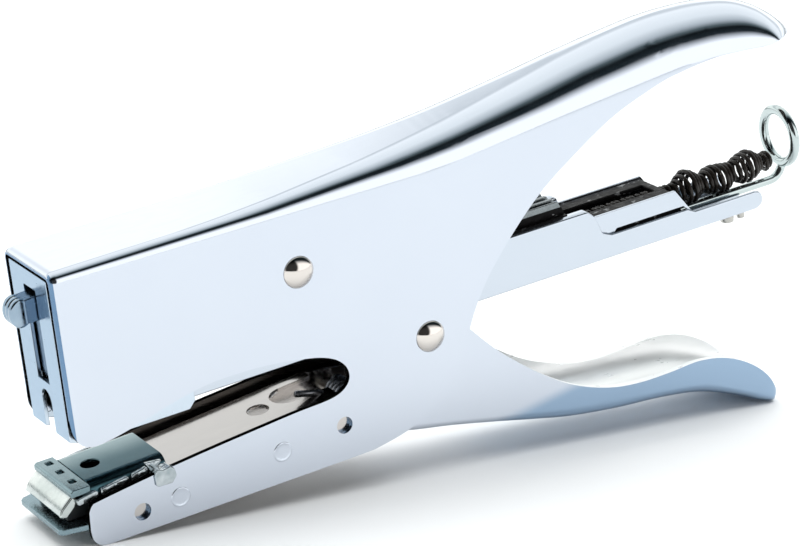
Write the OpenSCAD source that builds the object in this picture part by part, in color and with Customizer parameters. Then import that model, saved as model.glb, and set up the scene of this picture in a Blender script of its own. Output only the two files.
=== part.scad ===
// Plier stapler: one pressed body with the upper handle and lower jaw, a lower
// handle that drives the staple, and a straight magazine that swings onto the anvil.
// Everything is drawn along the body (x to the rear, z up from the jaw's lower
// edge), then stood on its jaw corner and lower handle by stood().

/* [Body] */
// outer width of the pressed body, mm
body_w = 22; // [22:0.1:23]
// thickness of the body sheet, mm
body_t = 1.2; // [1:0.05:1.2]
// radius of the holes through both jaw plates, mm
jaw_hole_r = 1.85; // [1.2:0.05:2]

/* [Rivets] */
// radius of both main rivet shanks, mm
shank_r = 2; // [1.8:0.05:2]
// radius of the domed rivet heads, mm
head_r = 3.55; // [3:0.05:4]
// height of the domes above the plate, mm
head_h = 1.5; // [1.1:0.05:1.8]

/* [Jaw and anvil] */
// sheet thickness of the inner jaw channel, mm
channel_t = 1; // [0.8:0.05:1.1]
// thickness of the front lip plate, mm
lip_t = 1.2; // [0.8:0.05:1.4]
// radius of the hole in the anvil cover, mm
anvil_hole_r = 2; // [1.7:0.05:2.4]
// depth of the two clinching grooves, mm
groove_d = 0.7; // [0.4:0.05:0.9]

/* [Lower handle] */
// outer width of the lower handle, mm
handle_w = 19; // [18.6:0.1:19]
// thickness of the lower handle sheet, mm
handle_t = 1.2; // [1:0.05:1.2]
// width of the lever arm above the magazine, mm
arm_w = 4.4; // [3.6:0.1:4.6]
// height of the rounded nose on the lever, mm
nose_d = 6; // [5:0.1:6.2]
// width of the nose across the body, mm
nose_l = 4; // [3.6:0.1:5]

/* [Magazine] */
// outer width of the magazine channel, mm
mag_w = 15.2; // [15:0.1:15.3]
// thickness of the magazine sheet, mm
mag_t = 0.8; // [0.7:0.05:0.8]
// width of the inner rail the staples sit on, mm
rail_w = 11.8; // [11.4:0.1:11.8]
// length of the loaded strip of staples, mm
strip_l = 94; // [20:1:94]
// width of the slot in the front guide plate, mm
slot_w = 5.4; // [5.2:0.1:6]

/* [Pull wire] */
// diameter of the pull wire and its finger ring, mm
wire_d = 2; // [1.6:0.1:2.1]
// outside diameter of the finger ring, mm
ring_d = 14.4; // [12:0.2:16]

/* [Hidden] */
$fn = 48;
// tilt and offset that stand the part on jaw corner and handle end
stand_tilt = 8.25;
stand_x = -82.9;
stand_z = -0.6;
// main rivets, in x and z along the body
front_at = [53.1, 44];
pivot_at = [82, 20.9];
coil_at = [66, 9];
lever_pins = [[67, 49.2], [77, 49.2]];
weld_at = [[20.8, 4.7], [44.7, 6.7]];
hole_at = [[12.2, 4.4], [59.6, 7.8]];
mag_z = 23.2;
guide_w = mag_w + 1.8;
channel_w = 16;

module stood() {
  translate([stand_x, 0, stand_z]) rotate([0, -stand_tilt, 0]) children();
}

// a side outline in x and z, w wide and centred across the body
module slab(w, pts) {
  rotate([90, 0, 0]) linear_extrude(height = w, center = true) polygon(pts);
}

// a round bar across the body
module bar(p, r, w) {
  translate([p[0], 0, p[1]]) rotate([90, 0, 0]) cylinder(r = r, h = w, center = true);
}

// a box from one corner to the other
module block(a, b) {
  translate(a) cube(b - a);
}

// copies on the near and the far side
module both() {
  children();
  mirror([0, 1, 0]) children();
}

// smooth curve through points, n steps from each to the next
function hermite(a, b, c, d, t) = b + (c - a) * (t / 2) +
  (2 * a - 5 * b + 4 * c - d) * (t * t / 2) + (3 * b - a - 3 * c + d) * (t * t * t / 2);
function at(p, i) = p[max(0, min(len(p) - 1, i))];
function smooth(p, n) = concat([for (i = [0:len(p) - 2]) for (k = [0:n - 1])
  hermite(at(p, i - 1), p[i], p[i + 1], at(p, i + 2), k / n)], [p[len(p) - 1]]);

// side outline of the body: jaw, throat, head and the underside of the handle
tail_under = smooth([[188.5, 58.6], [186, 59.9], [183.5, 60.5], [180.5, 60.6],
  [177, 60.7], [173.3, 61.1], [168.3, 61.8], [161.2, 62.3], [155.8, 62.1], [150.4, 61.5],
  [145.8, 60.8], [140.4, 59.3], [134.3, 57.3], [128.9, 54.9], [122, 51], [114, 46],
  [108, 41.1], [102, 35.1], [97, 29.2], [93.5, 23.5], [91.2, 18.5],
  [88.8, 13.5], [85.5, 8.7], [80.5, 4.5], [74, 1.6], [66, 0.1]], 3);
jaw_front = smooth([[4.4, 0], [2.3, 0.5], [1, 1.9], [0.7, 4]], 3);
jaw_top = smooth([[0.9, 8], [1.7, 9.4], [3.6, 9.9], [15, 11.3], [26, 12.4], [38, 13.4],
  [49, 14.2], [56, 14.5], [59.4, 15.2], [61.4, 16.7], [62, 18.6], [61.3, 20.8],
  [59.2, 22.8], [55.8, 24.3], [51, 25.4], [46, 26.2], [40, 26.7], [33, 26.8],
  [27.5, 26.3], [21.5, 25.1], [16.6, 23.9], [11.5, 22.6], [6.5, 21.7], [3.4, 21.7],
  [1.3, 22.8], [0.2, 25], [0, 28]], 3);
body_side = concat([[-3, 90], [200, 90], [200, 54]], tail_under, [[60, 0]],
  jaw_front, jaw_top, [[-3, 28.001]]);

// crown height, half width and bend radius of the body along x
crown_at = smooth([[-4, 58.9], [0, 58.9], [18, 59], [34, 59.2], [48, 59.7], [62, 60.6],
  [74, 61.5], [85, 62.6], [96, 64], [107, 65.8], [117, 67.5], [127, 69.3], [138, 70.9],
  [149, 72], [158, 72.1], [165, 71.6], [171, 70.5], [176, 68.6], [180, 66.2],
  [183, 63.9], [185.3, 61.8], [186.8, 60.2]], 2);
bend_at = [[-4, 2.2], [30, 2.6], [62, 4.6], [90, 7.4], [120, 10], [140, 11], [200, 11]];
function half_at(x) = x < 163 ? body_w / 2 :
  max(0.6, body_w / 2 * pow(max(0, 1 - pow((x - 163) / 23.8, 2.4)), 0.6));

// cross section ring of the body, i inwards, closed below the jaw
function ring(x, c, i) = let (w = max(0.25, half_at(x + i) - i), z = c - i,
  r = max(0.2, min(w - 0.04, lookup(x, bend_at) - i)))
  concat([[x, -w, -3 - i]],
    [for (k = [0:8]) [x, -w + r - r * cos(k * 11.25), z - r + r * sin(k * 11.25)]],
    [for (k = [8:-1:0]) [x, w - r + r * cos(k * 11.25), z - r + r * sin(k * 11.25)]],
    [[x, w, -3 - i]]);
module loft(rings) {
  n = len(rings[0]);
  m = len(rings);
  polyhedron(points = [for (g = rings) for (p = g) p], faces = concat(
    [[for (k = [n - 1:-1:0]) k]], [[for (k = [0:n - 1]) (m - 1) * n + k]],
    [for (j = [0:m - 2]) for (k = [0:n - 1]) [j * n + k, j * n + (k + 1) % n, (j + 1) * n + k]],
    [for (j = [0:m - 2]) for (k = [0:n - 1])
      [(j + 1) * n + k, j * n + (k + 1) % n, (j + 1) * n + (k + 1) % n]]));
}

module body_shell() color([0.82, 0.84, 0.87]) stood() difference() {
  intersection() {
    difference() {
      loft([for (p = crown_at) if (p[0] >= 0) ring(p[0], p[1], 0)]);
      loft([for (p = crown_at) if (p[0] <= 185.4) ring(p[0], p[1], body_t)]);
    }
    slab(60, body_side);
  }
  bar(front_at, shank_r, 40);
  bar(pivot_at, shank_r, 40);
  for (p = hole_at) bar(p, jaw_hole_r, 40);
}

// shank with a dome on each end
module dome_rivet(p) {
  bar(p, shank_r, body_w + 0.2);
  translate([p[0], 0, p[1]]) both() translate([0, -body_w / 2, 0]) rotate([90, 0, 0])
    rotate_extrude() polygon(concat([[0, 0], [head_r, 0]],
      [for (k = [0:8]) [head_r * cos(k * 11.25), 0.25 + (head_h - 0.25) * sin(k * 11.25)]]));
}
module front_rivet() color([0.86, 0.84, 0.8]) stood() dome_rivet(front_at);
module rear_rivet() color([0.86, 0.84, 0.8]) stood() dome_rivet(pivot_at);

// inverted channel inside the jaw, its web sloping up to the rear
web_z = [8.4, 13.3];
module jaw_channel() color([0.85, 0.84, 0.82]) stood() difference() {
  slab(channel_w, [[3, 2], [70.6, 2], [70.6, 12], [61, web_z[1]], [3, web_z[0] + 0.25]]);
  slab(channel_w - 2 * channel_t, [[-3, -1], [75, -1], [75, 20], [61, 20],
    [61, web_z[1] - channel_t], [-3, web_z[0] - channel_t - 0.25]]);
  translate([45.6, 0, 0]) cylinder(r = 2.4, h = 30);
  linear_extrude(height = 30) union() {
    translate([53.4, 1.2]) circle(r = 3.9);
    translate([6.6, 0]) circle(r = 1.7);
    translate([53.4, -2.7]) square([14, 7.8]);
  }
  bar(coil_at, 1.6, 30);
}

// pressed studs from the channel to the jaw plates, behind the weld marks and holes
module weld_studs() color([0.8, 0.82, 0.85]) stood() both() for (p = concat(weld_at, hole_at))
  translate([p[0], channel_w / 2, p[1]]) rotate([-90, 0, 0])
    cylinder(r = 2.1, h = body_w / 2 - body_t - channel_w / 2);

module spring_pin() color([0.6, 0.61, 0.63]) stood() bar(coil_at, 1.6, channel_w);

module anvil_base() color([0.66, 0.74, 0.76]) stood() {
  translate([0, 0, 4.4]) linear_extrude(height = lip_t) polygon([[-5.3, -8.8], [-4.6, -9.6],
    [0.4, -10.8], [0.4, -9.7], [2.6, -9.7], [2.6, -6.7], [24, -6.7], [24, 6.7], [2.6, 6.7],
    [2.6, 9.7], [0.4, 9.7], [0.4, 10.8], [-4.6, 9.6], [-5.3, 8.8]]);
}

// arched cover over the anvil, its long edges rolled down
module anvil_plate() color([0.55, 0.64, 0.66]) stood() difference() {
  translate([0.5, 0, 0]) rotate([0, -3, 0]) rotate([90, 0, 90]) linear_extrude(height = 19.4)
    polygon(concat([for (a = [180:-15:90]) [-2.5 + 5.8 * cos(a), 10.2 + 2.7 * sin(a)]],
      [for (a = [90:-15:0]) [2.5 + 5.8 * cos(a), 10.2 + 2.7 * sin(a)]],
      [for (a = [0:15:90]) [2.5 + 5 * cos(a), 10.2 + 1.9 * sin(a)]],
      [for (a = [90:15:180]) [-2.5 + 5 * cos(a), 10.2 + 1.9 * sin(a)]]));
  translate([6.6, 0, 9]) cylinder(r = anvil_hole_r, h = 8);
}

// hardened anvil bar with the two clinching grooves
module anvil_block() color([0.62, 0.68, 0.68]) stood() difference() {
  block([-2.9, -7.8, 10.3], [-0.15, 7.8, 12.6]);
  both() translate([-1.5, 3.1, 12.6 + 1.2 - groove_d]) rotate([90, 0, 0])
    cylinder(r = 1.2, h = 5.2, center = true);
}

// rolled front tongue and its cheeks around the anvil bar
module anvil_tongue() color([0.86, 0.87, 0.86]) stood() {
  slab(13.4, concat([for (a = [110:15:200]) [-2.2 + 3.1 * cos(a), 9.3 + 3.1 * sin(a)]],
    [for (a = [200:-15:110]) [-2.2 + 2.3 * cos(a), 9.3 + 2.3 * sin(a)]]));
  both() translate([0, 7.1, 0]) slab(0.8, [[-4.6, 7.7], [-3.4, 7.1], [-0.4, 8.4],
    [-0.3, 10.2], [-3, 10.2], [-3, 11.9], [-4.2, 11.5], [-5.1, 10]]);
}

// bent side rails the anvil cover is held in
module anvil_rails() color([0.78, 0.81, 0.82]) stood() both()
  for (x = [[0.8, 4.4], [4.9, 12.4], [12.9, 17.4]])
    translate([0, -8.75, 0]) slab(1.2, [[x[0], 8.2], [x[1], 8.2], [x[1], 10.1 + x[1] * 0.052],
      [x[0], 10.1 + x[0] * 0.052]]);

// spring clip folded over the near jaw plate
module anvil_clip() color([0.85, 0.86, 0.86]) stood() difference() {
  block([15.5, -11.7, 8.9], [20.4, -8.6, 12.7]);
  block([10, -11, 0], [25, -9.35, 12.05]);
  block([10, -9.4, 0], [25, -8, 11.05]);
  block([17.4, -9.4, 0], [25, -8, 12.05]);
}

module anvil_pin() color([0.7, 0.66, 0.55]) stood() translate([6.6, 0, lip_t + 4.4]) {
  cylinder(r = 1.6, h = 5.4);
  cylinder(r = 3, h = 1.4);
}

// plain sleeves stand in for the two wound springs
module sleeve(p, r, w) {
  translate([p[0], 0, p[1]]) rotate([90, 0, 0]) difference() {
    cylinder(r = r, h = w, center = true);
    cylinder(r = r - 1.6, h = w + 1, center = true);
  }
}
module handle_spring() color([0.4, 0.41, 0.43]) stood() {
  sleeve(coil_at, 3.6, 9);
  slab(1.4, [[62.6, 10], [64, 12.2], [53.5, 15.3], [52.6, 14]]);
  slab(1.4, [[67, 5.6], [78, 1.6], [78.4, 2.7], [68, 6.8]]);
}
module lever_spring() color([0.4, 0.41, 0.43]) stood() {
  sleeve(front_at, 3.9, 10);
  slab(1.4, [[50, 46.4], [43, 49.6], [43.6, 50.8], [52, 47.4]]);
  slab(1.4, [[50, 41], [38, 35.6], [38.4, 34.5], [52, 40.6]]);
}

// side outline of the lower handle, wall and web together
grip_top = smooth([[92.1, 19.4], [99.4, 11.4], [108.9, 3.4], [117.6, -2.3], [126.6, -5.8],
  [134.6, -7.2], [142.8, -7.4], [151.2, -7.2], [158.5, -8.8], [165, -12.2],
  [169.9, -16.7], [173.2, -22.2]], 3);
grip_under = smooth([[172, -24.3], [168.2, -22.9], [161.6, -19.6], [152, -15.8],
  [141, -13.7], [128.8, -12.3], [116.9, -10.3], [107.8, -8], [97, -4.9], [86.5, -2.2],
  [79, -0.6], [73, 0.8]], 3);
handle_side = concat([[62.5, 53.6], [80.5, 53.6], [85.6, 47], [88.4, 36], [90.4, 25]],
  grip_top, grip_under, [[71.4, 3], [71.4, 12], [68, 32]]);
module lower_handle() color([0.83, 0.85, 0.88]) stood() difference() {
  slab(handle_w, handle_side);
  slab(handle_w - 2 * handle_t, concat([[40, 80], [190, 80], [190, -23]],
    [for (p = grip_under) if (p[0] > 75) [p[0] - (p[0] > 160 ? 0.7 : 0.3), p[1] + handle_t]],
    [[40, 2]]));
  translate([0, 0, -40]) linear_extrude(height = 40) both()
    polygon(concat([[180, 20], [180, 7]],
      [for (a = [10:20:90]) [170.4 + 3.2 * cos(a), 6.7 + 2.9 * sin(a)]], [[160, 20]]));
  bar(pivot_at, shank_r + 0.05, 40);
  for (p = lever_pins) bar(p, 1.5, 40);
}

// lever arm over the front rivet, ending in the rounded nose
lever_side = [[63.2, 45.6], [79.5, 45.6], [80.5, 53.6], [66, 57.6], [52, 57.2], [30, 55.2],
  [12, 53], [-2.5, 52], [-2.5, 46.9], [12, 46.9], [30, 49.2], [46, 52], [54, 53.2],
  [61, 53.4], [63.2, 51.5]];
module drive_lever() color([0.72, 0.75, 0.78]) stood() {
  difference() {
    union() {
      slab(arm_w, lever_side);
      slab(handle_w - 2 * handle_t, [[63.2, 45.6], [79.5, 45.6], [80.5, 53.6], [64.6, 53.6]]);
    }
    for (p = lever_pins) bar(p, 1.5, 40);
  }
  slab(nose_l, [for (a = [0:15:345]) [-3.2 + 2.35 * cos(a), 49.3 + nose_d / 2 * sin(a)]]);
}
module lever_rivets() color([0.6, 0.62, 0.65]) stood()
  for (p = lever_pins) bar(p, 1.5, handle_w);

module driver_blade() color([0.7, 0.72, 0.75]) stood() difference() {
  block([1.2, -6.2, 34], [2, 6.2, 56]);
  block([0, -2.8, 45.9], [3, 2.8, 54.2]);
}

// straight open channel, its long edges folded in ahead of the step
module magazine_channel() color([0.8, 0.83, 0.86]) stood() difference() {
  slab(mag_w, concat([[2.3, mag_z], [170.4, mag_z]],
    [for (a = [-60:30:60]) [170.4 + 2.2 * cos(a), mag_z + 2.1 + 2.1 * sin(a)]],
    [[170.4, mag_z + 4.2], [154, mag_z + 4.2], [152, 28.4], [131.6, 28.4],
      [129.2, 29.4], [127.6, 33.6], [125.8, 35.2], [2.3, 35.2]]));
  block([0, -mag_w / 2 + mag_t, mag_z + mag_t], [200, mag_w / 2 - mag_t, 34.4]);
  block([0, -5, 30], [200, 5, 40]);
  block([0, -mag_w / 2 + mag_t, 0], [3.4, mag_w / 2 - mag_t, 40]);
}

// inner channel whose sides stand up behind the step
module magazine_liner() color([0.83, 0.85, 0.88]) stood() difference() {
  slab(mag_w - 2 * mag_t - 0.04, [[100, mag_z + mag_t], [158, mag_z + mag_t],
    [158, 25.2], [153.4, 27.6], [149.4, 33.2], [100, 33.2]]);
  block([90, -6.14, 20], [170, 6.14, 40]);
}

// dark inner rail, slotted along its top for the pusher
module staple_rail() color([0.09, 0.09, 0.1]) stood() difference() {
  slab(rail_w, [[3, mag_z + mag_t], [151.4, mag_z + mag_t], [151.4, 30.4], [149, 32.8], [3, 32.8]]);
  block([-1, -rail_w / 2 + 0.9, 20], [200, rail_w / 2 - 0.9, 31.9]);
  block([70, -2.4, 20], [147, 2.4, 40]);
}

// front plate with wrapped sides, a slot for the lever and a notch below
module guide_plate() color([0.74, 0.82, 0.87]) stood() difference() {
  slab(guide_w, [[0, 22.8], [4, 21.4], [26.6, 21.4], [28, 22.9], [28, 50], [22, 57], [0, 57]]);
  block([0.9, -mag_w / 2 - 0.03, 0], [40, mag_w / 2 + 0.03, 70]);
  block([-2, -slot_w / 2, 33.4], [2, slot_w / 2, 53.4]);
  translate([-2, 0, 0]) rotate([90, 0, 90]) linear_extrude(height = 4) union() {
    translate([0, 29.2]) circle(r = 2.3);
    translate([-2.3, 10]) square([4.6, 19.2]);
  }
}

// bearing under the magazine that turns on the rear rivet
module pivot_saddle() color([0.66, 0.68, 0.7]) stood() difference() {
  slab(12.8, concat([[77.4, mag_z], [77.4, 20.9]],
    [for (a = [180:15:360]) [82 + 4.6 * cos(a), 20.9 + 4.6 * sin(a)]], [[86.6, mag_z]]));
  bar(pivot_at, shank_r + 0.05, 40);
}

// rivets under the rear of the magazine
module rail_studs() color([0.72, 0.75, 0.78]) stood()
  for (p = [[163.8, -5.6, 1.5], [163.8, 5.6, 1.5], [167.4, -5.8, 0.9], [167.4, 5.8, 0.9]])
    translate([p[0], p[1], mag_z - 1.5]) cylinder(r = p[2], h = 1.5);

module staple_strip() color([0.75, 0.77, 0.8]) stood() difference() {
  block([3.4, -6.45, 27], [3.4 + strip_l, 6.45, 33.35]);
  block([0, -5.95, 20], [120, 5.95, 32.85]);
}

// pusher head on the rail, its stem down through the slot
module pusher() color([0.3, 0.33, 0.34]) stood() difference() {
  union() {
    block([98, -5.9, 33.1], [122.4, 5.9, 34.1]);
    slab(9.2, [[98, 34], [98, 36.6], [103, 38.6], [120.6, 38.6], [122.4, 34]]);
    block([100, -1.9, 25], [120, 1.9, 33.2]);
  }
  for (x = [106:3:118]) block([x, -6, 37.6], [x + 1.4, 6, 40]);
}

// pull wire along the floor, bent up into a finger ring
ring_r = (ring_d - wire_d) / 2;
module pull_wire() color([0.72, 0.76, 0.77]) stood() {
  translate([120, 0, 25.3]) rotate([0, 90, 0]) cylinder(d = wire_d, h = 60.4);
  translate([180.4, 0, 28.9]) rotate([-90, 0, 0]) rotate_extrude(angle = 90)
    translate([3.6, 0]) circle(d = wire_d);
  translate([184 - ring_r * cos(88), 0, 28.9 + ring_r * sin(88)]) rotate([0, 88, 0])
    rotate_extrude() translate([ring_r, 0]) circle(d = wire_d);
}

// lobed sleeve stands in for the barrel shaped coils
module pusher_spring() color([0.12, 0.12, 0.13]) stood() translate([151.6, 0, 30.4])
  rotate([0, 90, 0]) rotate_extrude() polygon(concat([[0.9, 0]],
    [for (x = [0:1:29]) [2.2 + 1.7 * pow(abs(sin(x * 180 / 9.67)), 1.4), x]], [[0.9, 29]]));

body_shell();
front_rivet();
rear_rivet();
jaw_channel();
weld_studs();
spring_pin();
anvil_base();
anvil_plate();
anvil_block();
anvil_tongue();
anvil_rails();
anvil_clip();
anvil_pin();
handle_spring();
lever_spring();
lower_handle();
drive_lever();
lever_rivets();
driver_blade();
magazine_channel();
magazine_liner();
staple_rail();
guide_plate();
pivot_saddle();
rail_studs();
staple_strip();
pusher();
pull_wire();
pusher_spring();
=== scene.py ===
import math

import bmesh
import bpy
from mathutils import Matrix, Vector


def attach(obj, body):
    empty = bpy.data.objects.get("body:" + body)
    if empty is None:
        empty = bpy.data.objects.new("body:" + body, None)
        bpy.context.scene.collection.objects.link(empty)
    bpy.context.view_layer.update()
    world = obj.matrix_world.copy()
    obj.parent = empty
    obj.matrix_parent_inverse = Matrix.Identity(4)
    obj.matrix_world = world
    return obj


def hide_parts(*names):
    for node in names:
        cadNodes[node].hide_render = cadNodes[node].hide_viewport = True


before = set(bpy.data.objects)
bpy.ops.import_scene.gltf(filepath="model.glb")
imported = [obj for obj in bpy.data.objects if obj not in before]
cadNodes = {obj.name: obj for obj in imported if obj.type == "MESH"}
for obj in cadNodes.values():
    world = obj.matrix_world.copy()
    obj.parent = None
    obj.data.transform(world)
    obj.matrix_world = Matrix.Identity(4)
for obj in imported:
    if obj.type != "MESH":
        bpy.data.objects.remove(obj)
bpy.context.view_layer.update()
print("frame loaded with", len(cadNodes), "nodes")

# Pieces are drawn in millimetres along the body: x to the rear, z up from the jaw's lower edge.
# Standing on the jaw corner and the lower handle tips that frame back a little.
standing = {"tilt": 8.25, "shift": (-82.9, 0.0, -0.6)}
mm = 0.001
bothSides = ((-1, "Near"), (1, "Far"))
bodyFrame = (Matrix.Diagonal((mm, mm, mm, 1.0)) @ Matrix.Translation(standing["shift"])
             @ Matrix.Rotation(math.radians(-standing["tilt"]), 4, "Y"))


def smoothCurve(points, steps):
    # passes through every point, rounding the corners between them
    last = len(points) - 1
    found = []
    for i in range(last):
        a, b, c, d = (Vector(points[max(0, min(last, i + k))]) for k in (-1, 0, 1, 2))
        for k in range(steps):
            t = k / steps
            found.append(b + (c - a) * (t / 2) + (2 * a - 5 * b + 4 * c - d) * (t * t / 2)
                         + (3 * b - a - 3 * c + d) * (t ** 3 / 2))
    found.append(Vector(points[-1]))
    return found


def readAt(line, x):
    # height of a curve at x, straight between its points
    for a, b in zip(line, line[1:]):
        if x <= b[0]:
            return a[1] + (b[1] - a[1]) * max(0.0, (x - a[0]) / (b[0] - a[0]))
    return line[-1][1]


def arc(centre, radius, start, end, steps):
    turns = [math.radians(start + (end - start) * k / steps) for k in range(steps + 1)]
    return [(centre[0] + radius * math.cos(t), centre[1] + radius * math.sin(t)) for t in turns]


def makeObject(name, points, faces):
    # a mesh object from points in the body's own frame
    mesh = bpy.data.meshes.new(name)
    mesh.from_pydata([bodyFrame @ Vector(p) for p in points], [], faces)
    work = bmesh.new()
    work.from_mesh(mesh)
    bmesh.ops.recalc_face_normals(work, faces=work.faces)
    work.to_mesh(mesh)
    work.free()
    piece = bpy.data.objects.new(name, mesh)
    bpy.context.scene.collection.objects.link(piece)
    return piece


def loft(name, rings, loop=False):
    # skin over closed sections of equal length, capped at both ends or joined into a loop
    count = len(rings[0])
    points = [p for ring in rings for p in ring]
    spans = len(rings) if loop else len(rings) - 1
    faces = [[j * count + k, j * count + (k + 1) % count,
              (j + 1) % len(rings) * count + (k + 1) % count, (j + 1) % len(rings) * count + k]
             for j in range(spans) for k in range(count)]
    if not loop:
        faces += [list(range(count)), list(range(len(points) - count, len(points)))]
    return makeObject(name, points, faces)


def plate(name, outline, near, far):
    # a side outline in x and z, from y near to y far
    return loft(name, [[(x, near, z) for x, z in outline], [(x, far, z) for x, z in outline]])


def lathe(name, profile, centre, axis, steps=48):
    # profile of radius and height, turned about a line through centre
    turn = Vector((0, 0, 1)).rotation_difference(Vector(axis)).to_matrix()
    rings = []
    for k in range(steps):
        t = 2 * math.pi * k / steps
        rings.append([turn @ Vector((r * math.cos(t), r * math.sin(t), h)) + Vector(centre)
                      for r, h in profile])
    count = len(profile)
    points = [p for ring in rings for p in ring]
    faces = [[j * count + k, j * count + k + 1, (j + 1) % steps * count + k + 1, (j + 1) % steps * count + k]
             for j in range(steps) for k in range(count - 1)]
    piece = makeObject(name, points, faces)
    work = bmesh.new()
    work.from_mesh(piece.data)
    bmesh.ops.remove_doubles(work, verts=work.verts, dist=2e-6)
    bmesh.ops.recalc_face_normals(work, faces=work.faces)
    work.to_mesh(piece.data)
    work.free()
    return piece


def tube(name, path, radius, sides=12, loop=False):
    # round wire along a path, its rings carried along without twisting
    line = [Vector(p) for p in path]
    count = len(line)
    side = None
    rings = []
    for i, p in enumerate(line):
        before = line[i - 1] if loop or i else p
        after = line[(i + 1) % count] if loop or i < count - 1 else p
        ahead = (after - before).normalized()
        if side is None:
            side = ahead.orthogonal().normalized()
        side = (side - ahead * side.dot(ahead)).normalized()
        other = ahead.cross(side)
        rings.append([p + side * (radius * math.cos(2 * math.pi * k / sides))
                      + other * (radius * math.sin(2 * math.pi * k / sides)) for k in range(sides)])
    return loft(name, rings, loop)


def combine(piece, tool, how):
    # carries out one cut at once and throws the tool away
    change = piece.modifiers.new("cut", "BOOLEAN")
    change.operation = how
    change.solver = "EXACT"
    change.object = tool
    shown = piece.evaluated_get(bpy.context.evaluated_depsgraph_get())
    mesh = bpy.data.meshes.new_from_object(shown)
    piece.modifiers.clear()
    piece.data = mesh
    bpy.data.objects.remove(tool)


def cutSide(piece, outline, how="DIFFERENCE"):
    # a cut or trim right through the width, drawn in x and z
    combine(piece, plate("cutter", outline, -30, 30), how)


def cleanFlats(piece, angle=0.4):
    # joins what a cut left in one plane, so that the bevel runs cleanly
    work = bmesh.new()
    work.from_mesh(piece.data)
    bmesh.ops.remove_doubles(work, verts=work.verts, dist=8e-6)
    bmesh.ops.dissolve_limit(work, angle_limit=math.radians(angle), verts=work.verts, edges=work.edges)
    work.to_mesh(piece.data)
    work.free()


def roundEdges(piece, radius, segments=3, angle=32):
    bevel = piece.modifiers.new("edges", "BEVEL")
    bevel.width = radius * mm
    bevel.segments = segments
    bevel.limit_method = "ANGLE"
    bevel.angle_limit = math.radians(angle)
    bevel.use_clamp_overlap = True
    bevel.miter_outer = "MITER_ARC"


def shadeSmooth(piece):
    for face in piece.data.polygons:
        face.use_smooth = True
    normals = piece.modifiers.new("shading", "WEIGHTED_NORMAL")
    normals.weight = 80
    normals.keep_sharp = True


def place(piece, body, material, slotName, *replaced):
    # finish and body of a piece, and the frame nodes that it stands in for; the slot name is not used
    piece.data.materials.clear()
    piece.data.materials.append(material)
    shadeSmooth(piece)
    if replaced:
        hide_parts(*replaced)
    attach(piece, body)
    return piece


def mapRange(tree, value, source, target=(0.0, 1.0), smooth=False):
    # carries a value from one range to another
    reach = tree.nodes.new("ShaderNodeMapRange")
    if smooth:
        reach.interpolation_type = "SMOOTHSTEP"
    for socketName, number in zip(("From Min", "From Max", "To Min", "To Max"), (*source, *target)):
        reach.inputs[socketName].default_value = number
    tree.links.new(value, reach.inputs["Value"])
    return reach.outputs["Result"]


def mixColours(tree, share, first, second, blend="MIX"):
    # each argument is a plain value or another node's output
    mix = tree.nodes.new("ShaderNodeMix")
    mix.data_type = "RGBA"
    mix.blend_type = blend
    for socketName, value in (("Factor", share), ("A", first), ("B", second)):
        if isinstance(value, bpy.types.NodeSocket):
            tree.links.new(value, mix.inputs[socketName])
        else:
            mix.inputs[socketName].default_value = value
    return mix.outputs["Result"]


def alongAxis(tree, vector, direction):
    # how far a vector reaches in one direction
    product = tree.nodes.new("ShaderNodeVectorMath")
    product.operation = "DOT_PRODUCT"
    product.inputs[1].default_value = direction
    tree.links.new(vector, product.inputs[0])
    return product.outputs["Value"]


def noise(tree, vector, size, detail):
    cloud = tree.nodes.new("ShaderNodeTexNoise")
    cloud.inputs["Scale"].default_value = size
    cloud.inputs["Detail"].default_value = detail
    tree.links.new(vector, cloud.inputs["Vector"])
    return cloud.outputs["Fac"]


def bump(tree, height, strength, distance):
    relief = tree.nodes.new("ShaderNodeBump")
    relief.inputs["Strength"].default_value = strength
    relief.inputs["Distance"].default_value = distance
    tree.links.new(height, relief.inputs["Height"])
    return relief


def finish(name, look):
    # metal or lacquer with cloudy tone, fine drawn grain and a faintly wavy surface
    material = bpy.data.materials.new(name)
    material.use_nodes = True
    tree = material.node_tree
    shader = tree.nodes["Principled BSDF"]
    shader.inputs["Metallic"].default_value = look.get("metal", 1.0)
    shader.inputs["Specular IOR Level"].default_value = look.get("gloss", 0.5)
    position = tree.nodes.new("ShaderNodeTexCoord")
    drawn = tree.nodes.new("ShaderNodeMapping")
    drawn.inputs["Scale"].default_value = look.get("stretch", (1, 1, 1))
    tree.links.new(position.outputs["Object"], drawn.inputs["Vector"])
    grain = noise(tree, drawn.outputs["Vector"], look.get("grainSize", 900), 5)
    cloud = noise(tree, position.outputs["Object"], look.get("cloudSize", 45), 3)
    wave = noise(tree, position.outputs["Object"], look.get("waveSize", 120), 2)

    colour = mixColours(tree, cloud, (*look["colour"], 1), (*look.get("tint", look["colour"]), 1))
    if "paintedShade" in look:  # painted shade: a deeper tone along the piece, or where its faces turn forward
        source, direction, low, high, deep = look["paintedShade"]
        reach = mapRange(tree, alongAxis(tree, position.outputs[source], direction), (low, high), smooth=True)
        colour = mixColours(tree, reach, colour, (*deep, 1))
    if "wornAndGlint" in look:  # light flecks: bare metal where the lacquer has rubbed through, and painted glints
        low, high, bareAndGlint = look["wornAndGlint"]
        flecks = mapRange(tree, noise(tree, drawn.outputs["Vector"], 650, 6), (low, high))
        colour = mixColours(tree, flecks, colour, (*bareAndGlint, 1))
    tree.links.new(colour, shader.inputs["Base Color"])
    tree.links.new(mapRange(tree, grain, (0.3, 0.7), look["rough"]), shader.inputs["Roughness"])

    fine = bump(tree, grain, look.get("grainDepth", 0.05), 0.00004)
    broad = bump(tree, wave, look.get("waveDepth", 0.05), 0.0002)
    tree.links.new(fine.outputs["Normal"], broad.inputs["Normal"])
    tree.links.new(broad.outputs["Normal"], shader.inputs["Normal"])
    return material


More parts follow.
